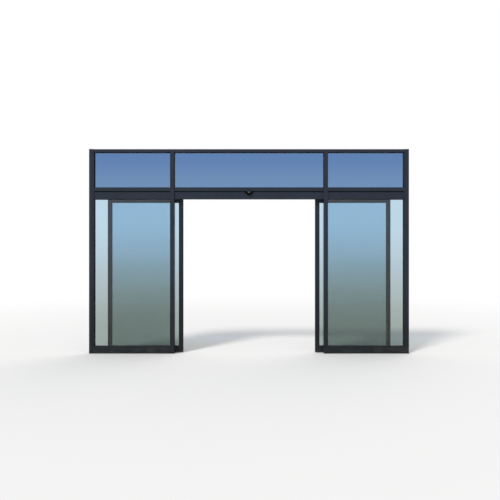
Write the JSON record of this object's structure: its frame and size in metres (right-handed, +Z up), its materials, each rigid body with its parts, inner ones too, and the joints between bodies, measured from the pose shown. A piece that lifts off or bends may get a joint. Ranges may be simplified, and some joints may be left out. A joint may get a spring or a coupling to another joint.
{
  "type": "automatic sliding entrance door",
  "caption": "Bi-parting entrance door: framed glass leaves hang from a header track and slide behind fixed sidelights, under top lights, in a slim dark aluminium frame.",
  "frame": {"origin": "on the wall face of the left jamb, at floor level, in the middle of the frame's depth", "axes": "+X along the wall to the right as seen from outdoors, +Y indoors, +Z up"},
  "size_m": [4.8, 0.273, 3.07],
  "materials": {
    "frame_finish": "satin anthracite coating on aluminium extrusions",
    "leaf_finish": "satin anthracite coating on aluminium extrusions",
    "housing_finish": "satin anthracite coating on folded and extruded covers",
    "gap_finish": "matt near-black coating in the recessed joint",
    "glass": "clear insulated float glass with a faint green edge",
    "seal_rubber": "black EPDM",
    "hanger_steel": "zinc plated",
    "roller_plastic": "dark moulded polyamide",
    "track_aluminium": "mill finish, hidden in the housing",
    "guide_steel": "brushed stainless steel",
    "sensor_plastic": "black moulded housing with a dark window"
  },
  "bodies": {
    "frame": {"left_jamb": "frame_finish", "right_jamb": "frame_finish", "left_mullion": "frame_finish", "right_mullion": "frame_finish", "head_rail": "frame_finish", "left_transom_bar": "frame_finish", "centre_transom_bar": "frame_finish", "right_transom_bar": "frame_finish", "left_header_rail": "frame_finish", "centre_header_rail": "frame_finish", "right_header_rail": "frame_finish", "left_transom_glass": "glass", "centre_transom_glass": "glass", "right_transom_glass": "glass", "shadow_gap_strips": "gap_finish", "left_sidelight_bottom_rail": "frame_finish", "right_sidelight_bottom_rail": "frame_finish", "left_sidelight_glass": "glass", "right_sidelight_glass": "glass", "operator_back_plate": "track_aluminium", "track_rail": "track_aluminium", "operator_top_plate": "housing_finish", "operator_cover": "housing_finish", "operator_soffit": "housing_finish", "operator_end_caps": "housing_finish", "floor_guides": "guide_steel", "outdoor_motion_sensor": "sensor_plastic", "indoor_motion_sensor": "sensor_plastic"},
    "left_leaf": {"left_leaf_leading_stile": "leaf_finish", "left_leaf_trailing_stile": "leaf_finish", "left_leaf_top_rail": "leaf_finish", "left_leaf_bottom_rail": "leaf_finish", "left_leaf_glass": "glass", "left_leaf_edge_seal": "seal_rubber", "left_leaf_hangers": "hanger_steel", "left_leaf_rollers": "roller_plastic"},
    "right_leaf": {"right_leaf_leading_stile": "leaf_finish", "right_leaf_trailing_stile": "leaf_finish", "right_leaf_top_rail": "leaf_finish", "right_leaf_bottom_rail": "leaf_finish", "right_leaf_glass": "glass", "right_leaf_edge_seal": "seal_rubber", "right_leaf_hangers": "hanger_steel", "right_leaf_rollers": "roller_plastic"}
  },
  "joints": [
    {"name": "left_leaf_slide", "type": "slide", "parent": "frame", "child": "left_leaf", "axis": [1, 0, 0], "range_m": [0, 1]},
    {"name": "right_leaf_slide", "type": "slide", "parent": "frame", "child": "right_leaf", "axis": [-1, 0, 0], "range_m": [0, 1]}
  ],
  "couplings": [
    {"joint": "right_leaf_slide", "follows": "left_leaf_slide", "ratio": 1}
  ]
}
